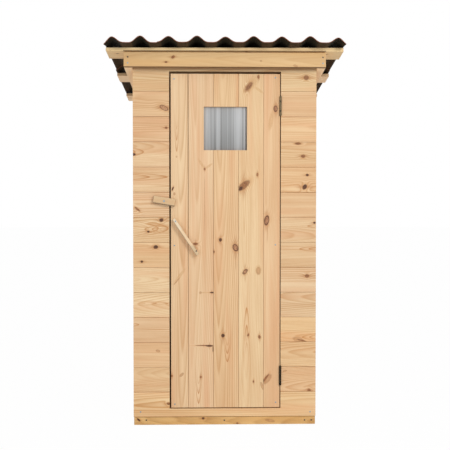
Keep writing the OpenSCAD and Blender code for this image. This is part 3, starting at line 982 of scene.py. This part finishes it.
def sheet(name, left, start, length, lift, droop):
    obj = addThing(name, bpy.ops.mesh.primitive_grid_add, x_subdivisions=roof["columns"],
        y_subdivisions=roof["rows"], size=1)
    trim, right, corner = roof["edgeTrim"], roof["sheetHalf"], roof["cornerStart"]
    obj.scale = (right - left - 2 * trim, length - trim, 1)
    obj.location = ((left + right) / 2, start + length / 2, 0)
    settle(obj)
    crests = []
    for point in obj.data.vertices:
        x, s = point.co.x, point.co.y
        # the crest attribute masks the painted shade inside the crests, fading out behind the front batten
        crests.append(waveHeight(x) / roof["crest"] * share(2 - s / frontBatten))
        z = roof["battenThick"] + roof["sheetSeat"] + (s - frontBatten) * math.sin(lift)
        z += waveHeight(x, droop > 0) + roof["ripple"] * math.sin(31 * x + 3 * s) * math.sin(4 * s + 2)
        over = max(0.0, 1 - s / frontBatten)
        if droop:
            outer = max(0.0, (abs(x) - corner) / (right - corner))
            z -= droop * over ** 1.5 + roof["leftDroop" if x < 0 else "rightDroop"] * outer * over
        point.co.z = z
    obj.data.attributes.new("crest", "FLOAT", "POINT").data.foreach_set("value", crests)
    obj.data.materials.append(sheetSkin)
    obj.data.materials.append(sheetEdge)
    applyModifier(obj, "SOLIDIFY", thickness=roof["sheetThick"], offset=1.0, material_offset_rim=1)
    obj.matrix_world = onRoof
    settle(obj)
    bpy.ops.object.shade_smooth_by_angle(angle=roof["smooth"])
    return obj


sheetLong = (slopeLong + roof["overlap"]) / 2
rearStart = slopeLong - sheetLong
rearLeft = -roof["sheetHalf"] - roof["rearStep"]
lift = math.asin(roof["lapStep"] / (rearStart - frontBatten))  # the front sheet lies over the rear one
frontSheet = sheet("frontSheet", -roof["sheetHalf"], 0.0, sheetLong, lift, roof["eaveDroop"])
finishPiece(frontSheet, sheetSkin, "cabin", "roof_sheet", "front_roof_sheet")
rearSheet = sheet("rearSheet", rearLeft, rearStart, sheetLong, 0.0, 0.0)
finishPiece(rearSheet, sheetSkin, "cabin", "roof_sheet", "rear_roof_sheet")
print("roof laid")


# metal: zinc, aged zinc and black steel

grease = dict(inner=0.0015, outer=0.0055, colour=(34, 28, 14))


def metal(name, dark, light, shine, rough, gloss=0.5, grime=()):
    made, start, shader = newMaterial(name)
    place = start.coord()
    blotch = place.noise((90, 90, 90), 3, 0.6)
    grit = place.noise((900, 900, 500), 2, 0.6)
    colour = (blotch * 0.7 + grit * 0.3).ease(0.3, 0.72).blend(dark, light)
    for height in grime:  # old grease round the joints of the knuckles
        off = (place.parts()[2] - height).absolute()
        colour = off.fall(grease["inner"], grease["outer"]).blend(colour, grease["colour"])
    feed(shader, colour=colour, rough=rough + blotch.about(0.3), normal=grit.bump(0.15, 0.0003),
         metal=shine, gloss=gloss)
    return made


zinc = metal("screwZinc", (128, 136, 142), (176, 186, 192), 0.4, 0.45)
darkZinc = metal("screwDark", (52, 50, 48), (86, 82, 76), 0.4, 0.5)
blackSteel = metal("hingeBlack", (14, 11, 7), (38, 31, 22), 0.0, 0.6, 0.08)


def screwShape(name, wide, thick, shankWide, shankLong):  # stands up Z, with its head's underside at z = 0
    head = addRod(name, wide, 0, thick)
    roundTop(head, thick * 0.5)
    arm, slot = wide * 0.3, wide * 0.07
    cutOut(head, (-arm, -slot, thick * 0.4), (arm, slot, thick * 2))
    cutOut(head, (-slot, -arm, thick * 0.4), (slot, arm, thick * 2))
    return joinAll([head, addRod(name, shankWide, -shankLong, thick * 0.2, 16)], name)


# door ledges, window sheet, handle and turn button

ledges = dict(high=0.045, middleShare=0.487)
low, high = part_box("door_ledges")
tall = ledges["high"]
middle = low.z + (high.z - low.z) * ledges["middleShare"] - tall / 2
laths = [((low.x, low.y, z), (high.x, high.y, z + tall)) for z in (low.z, middle, high.z - tall)]
ledgeLaths = planed("doorLedgeLaths", laths, alongX, timbers["thinEase"])[0]
finishPiece(ledgeLaths, framePine, "door", "frame_pine", "door_ledges")

pane = dict(skin=0.0007, rib=0.0006, ribGap=0.0115, dark=(122, 122, 120), light=(222, 224, 226),
    sky=(1.50, 1.70), bands=((-0.093, 0.010, 0.18), (-0.036, 0.013, 0.24), (0.012, 0.050, -0.16),
    (0.073, 0.028, 0.22), (0.0995, 0.004, -0.3), (0.107, 0.008, 0.5)))


def twinWall():  # grey twin-walled plastic sheet, with long upright streaks
    made, start, shader = newMaterial("windowSheet")
    place = start.coord()
    x, y, z = place.parts()
    wide = place.noise((22, 8, 0.5), 1)
    fine = place.noise((110, 8, 0.9), 2, 0.6)
    sky = z.ease(*pane["sky"])  # painted sky reflection, stronger in the upper part
    tone = wide.about(0.5) + fine.about(0.9) + sky * 0.22 + 0.22
    for centre, half, gain in pane["bands"]:  # broad upright bands of painted sheen and shade, with a painted glint near the right edge
        tone = tone + (x - centre).absolute().fall(0.0, half) * gain
    tone = tone.clamped()
    colour = tone.blend(pane["dark"], pane["light"])
    feed(shader, colour=colour, alpha=0.97 - tone * 0.1, rough=0.22, gloss=0.4)
    return made


low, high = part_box("window_pane")
skin, rib = pane["skin"], pane["rib"]
count = int((high.x - low.x) / pane["ribGap"])
ribs = addBox("paneRib", (low.x, low.y + skin, low.z), (low.x + rib, high.y - skin, high.z))
repeat(ribs, count + 1, ((high.x - low.x - rib) / count, 0, 0))
sheetParts = [ribs, addBox("paneFront", low, (high.x, low.y + skin, high.z)),
    addBox("paneBack", (low.x, high.y - skin, low.z), high)]
finishPiece(joinAll(sheetParts, "windowTwinWall"), twinWall(), "door", "window_sheet", "window_pane")

handle = dict(long=0.236, wide=0.018, thick=0.020, lean=34.0, place=(-0.213, -0.5, 1.034), padLong=0.038,
    padThick=0.018, ease=0.0022, padEase=0.0010, splits=(0.042, -0.062),
    paintedShadeAndTone=(((0, 0, 0.052), (0, 0, -1), "wheat"), ((0, 0, -0.052), (0, 0, -1), "straw"),
    ((-0.003, 0, 0), (-1, 0, 0), "brown")))
onHandle = Matrix.Translation(handle["place"]) @ Matrix.Rotation(-math.radians(handle["lean"]), 4, "Y")
handleLook = dict(frameLook, wildKnots=0.0, ringMix=0.35, early=(238, 219, 190), late=(216, 184, 144))
handlePine = pine("handlePine", handleLook)


def strip(name, boxes, place, way, across, ease, tone="pale", bore=None):  # a small eased batten
    obj = joinAll([addBox(name, low, high) for low, high in boxes], name)
    easeEdges(obj, ease)
    if bore:
        subtract(obj, bore)
    obj.matrix_world = place
    settle(obj)
    turn = place.to_3x3()
    markGrain(obj, turn @ Vector(way), turn @ Vector(across), always(tone))
    return obj


half, tall, pad = handle["wide"] / 2, handle["long"] / 2, handle["padThick"]
bar = [((-half, -pad - handle["thick"], -tall), (half, -pad, tall))]
pads = [((-half, -pad, z), (half, 0, z + handle["padLong"])) for z in (-tall, tall - handle["padLong"])]
piece = strip("handleBar", bar, onHandle, (0, 0, 1), (1, 0, 0), handle["ease"])
for z in handle["splits"]:
    splitAt(piece, (0, 0, z), (0, 0, 1), onHandle)
for point, way, word in handle["paintedShadeAndTone"]:  # pale above, wheat in the middle and straw below, with painted shade along the lower-left edge
    paintBeyond(piece, point, way, word, onHandle)
finishPiece(piece, handlePine, "door", "frame_pine", "door_handle")
piece = strip("handlePads", pads, onHandle, (0, 0, 1), (1, 0, 0), handle["padEase"])
finishPiece(piece, handlePine, "door", "frame_pine", "handle_spacers")

button = dict(long=0.120, high=0.040, thick=0.020, gap=0.005, tilt=9.5, place=(-0.330, -0.5, 1.229325),
    bore=0.0061, shank=0.006, head=0.011, headThick=0.0025, headGap=0.0003, collar=0.018,
    collarRound=0.0012, ease=0.0020, paintBeyond=0.008)
toFront = Matrix.Rotation(math.radians(90), 4, "X")
b = button
tilted = Matrix.Rotation(math.radians(b["tilt"]), 4, "Y")
onButton = Matrix.Translation(b["place"]) @ tilted @ toFront
half, tall, top = b["long"] / 2, b["high"] / 2, b["gap"] + b["thick"]
block = [((-half, -tall, b["gap"]), (half, tall, top))]
piece = strip("turnButtonBlock", block, onButton, (1, 0, 0), (0, 1, 0), b["ease"], "dull",
    addRod("bore", b["bore"], 0, top * 2, 32))
# painted shade along the lower edge and the left end
paintBeyond(piece, (0, b["paintBeyond"] - tall, 0), (0, -1, 0), "dusk", onButton)
paintBeyond(piece, (b["paintBeyond"] / 2 - half, 0, 0), (-1, 0, 0), "brown", onButton)
finishPiece(piece, handlePine, "turn_button", "frame_pine", "turn_button")
seat = top + b["headGap"]
screw = screwShape("buttonScrew", b["head"], b["headThick"], b["shank"], seat + boards["thick"])
screw.location.z = seat
settle(screw)
collar = addRod("collar", b["collar"], 0, b["gap"] - b["headGap"], 40)
roundTop(collar, b["collarRound"])
piece = joinAll([screw, collar], "turnButtonScrew")
piece.matrix_world = onButton
settle(piece)
finishPiece(piece, zinc, "cabin", "hinge_steel", "turn_button_screw")
print("door fittings made")


# hinges: rolled knuckles round a headed pin, with leaves set into the gap

hinge = dict(long=0.105, barrel=0.012, bore=0.0061, pin=0.006, head=0.009, headThick=0.003, headGap=0.0003,
    leaf=0.002, leafWide=0.030, gap=0.005, knuckleGap=0.0005, jointGap=0.0010, endShare=0.25,
    axis=(0.3035, -0.5065), ease=0.0004, screwShares=(0.2, 0.5, 0.8), screwPlace=0.68,
    screwSeat=0.0001, screwSink=0.0006, screw=(0.0075, 0.0008, 0.003, 0.014))
g = hinge


def hingeLeaf(way, knuckles):
    radius = g["barrel"] / 2
    near = g["gap"] / 2 - g["leaf"]
    left, right = sorted((way * near, way * (near + g["leaf"])))
    parts = [addBox("leaf", (left, radius + g["knuckleGap"], 0), (right, g["leafWide"], g["long"]))]
    for bottom, top in knuckles:
        tube = addRod("leaf", g["barrel"], bottom, top, 40, "NOTHING")
        applyModifier(tube, "SOLIDIFY", thickness=(g["barrel"] - g["bore"]) / 2, offset=-1.0)
        web = addBox("leaf", (left, radius * 0.75, bottom), (right, radius + 2 * g["knuckleGap"], top))
        parts += [tube, web]
    obj = joinAll(parts, "leaf")
    easeEdges(obj, g["ease"])
    return obj


def leafScrews(way):
    made = []
    x = way * (g["gap"] / 2 - g["leaf"] - g["screwSeat"])
    for part in g["screwShares"]:
        place = Matrix.Translation((x, g["leafWide"] * g["screwPlace"], g["long"] * part))
        made.append(copyOf(leafScrew, "leafScrew", place @ Matrix.Rotation(-way * math.pi / 2, 4, "Y")))
    return made


long, gap, end = g["long"], g["jointGap"], g["long"] * g["endShare"]
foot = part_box("upper_hinge_door_leaf")[0].z
agedZinc = metal("hingeZinc", (82, 68, 44), (132, 114, 80), 0.3, 0.5, 0.5,
    (foot + end, foot + long - end))
leafScrew = screwShape("leafScrew", *g["screw"])
leafScrew.data.transform(Matrix.Translation((0, 0, -g["screwSink"])))
for name, skin in (("upper", agedZinc), ("lower", blackSteel)):
    place = Matrix.Translation((*g["axis"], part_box(name + "_hinge_door_leaf")[0].z))
    top = long + g["headGap"]
    pin = addRod("pin", g["pin"], 0, top, 32)
    cap = addRod("cap", g["head"], top, top + g["headThick"], 32)
    roundTop(cap, g["headThick"] * 0.5)
    wallSide = [hingeLeaf(1, ((0, end - gap), (long - end + gap, long))), pin, cap] + leafScrews(1)
    doorSide = [hingeLeaf(-1, ((end + gap, long - end - gap),))] + leafScrews(-1)
    for pieces, bodyName, part in ((wallSide, "cabin", "wall"), (doorSide, "door", "door")):
        obj = joinAll(pieces, name + "Hinge" + part.title())
        obj.data.transform(place)
        finishPiece(obj, skin, bodyName, "hinge_steel", name + "_hinge_" + part + "_leaf")
drop(leafScrew)
print("hinges made")


# screws in the boards, and capped nails in the roof

screws = dict(shape=(0.0082, 0.0016, 0.0038, 0.030), sink=0.0004)
boardScrew = screwShape("boardScrew", *screws["shape"])


def screwRow(name, places, y, skin, bodyName, turn=0.0):  # at (x, z) in mm, on a front face at y
    made = []
    about = Matrix.Rotation(turn, 4, "Z")
    for x, z in places:
        spin = Matrix.Rotation(dice.uniform(0, math.pi / 2), 4, "Z")
        place = Matrix.Translation((x / 1000, y + screws["sink"], z / 1000))
        made.append(copyOf(boardScrew, name, about @ place @ toFront @ spin))
    finishPiece(joinAll(made, name), skin, bodyName, "hinge_steel")


wallFace = -body["half"]
handleFace = handle["place"][1] - handle["padThick"] - handle["thick"]
sillFace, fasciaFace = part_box("front_sill")[0].y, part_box("front_fascia")[0].y
rearSillFace = -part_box("rear_sill")[1].y  # turned half round with its screws
low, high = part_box("rear_fascia")
rearRows = [(x, z) for x in (-523, 523) for z in (1000 * low.z + 22, 1000 * high.z - 26)]
doorRows = ((-276.5, 1893), (-275.4, 987), (-274.7, 115), (275.5, 1901), (277, 990), (280, 123))
screwRow("doorScrews", doorRows, wallFace, zinc, "door")
screwRow("wallScrews", ((-462, 73), (470, 69)), wallFace, zinc, "cabin")
screwRow("sillScrews", ((-431, 27), (-3, 24), (440, 23), (477, 23)), sillFace, darkZinc, "cabin")
screwRow("fasciaScrews", ((-520, 1967), (526, 1968)), fasciaFace, zinc, "cabin")
screwRow("fasciaDarkScrews", ((-520, 1999), (526, 2000)), fasciaFace, darkZinc, "cabin")
screwRow("rearFasciaScrews", rearRows, -high.y, zinc, "cabin", math.pi)
screwRow("rearSillScrews", ((-470, 23), (0, 23), (470, 23)), rearSillFace, darkZinc, "cabin", math.pi)
screwRow("handleScrews", ((-267, 1120),), handleFace, zinc, "door")
screwRow("handleDarkScrews", ((-155, 959),), handleFace, darkZinc, "door")
drop(boardScrew)

nails = dict(cap=0.017, capThick=0.0042, capSink=0.0020, head=0.009, headThick=0.0014, headSink=0.0002,
    shank=0.003, reach=0.050, crests=(-4, -2, 0, 2, 4))
n = nails
capTop = n["capThick"] - n["capSink"]
headBase = capTop - n["headSink"]
cap = addRod("nailCap", n["cap"], -n["capSink"], capTop, 24)
roundTop(cap, n["capThick"] * 0.4)
head = addRod("nailHead", n["head"], headBase, headBase + n["headThick"], 20)
nail = joinAll([cap, head, addRod("nailShank", n["shank"], -n["reach"], headBase, 10)], "nail")
nailCopies = []
for node, start in battenStarts.items():
    s = start + roof["battenWide"] / 2
    lapped = node != "rear_batten"
    rise = (s - frontBatten) * math.sin(lift) if lapped else 0.0
    for k in n["crests"]:
        x = k * roof["wave"]
        z = roof["battenThick"] + roof["sheetSeat"] + rise + waveHeight(x, lapped) + roof["sheetThick"]
        nailCopies.append(copyOf(nail, "nail", onRoof @ Matrix.Translation((x, s, z))))
drop(nail)
nailPaint = metal("nailCap", (44, 32, 26), (82, 62, 50), 0.0, 0.6)
finishPiece(joinAll(nailCopies, "roofNails"), nailPaint, "cabin", "roof_sheet")
print("screws and nails set")

size = [list(cadLow), list(cadHigh)]
size += [list(corner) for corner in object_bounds()]
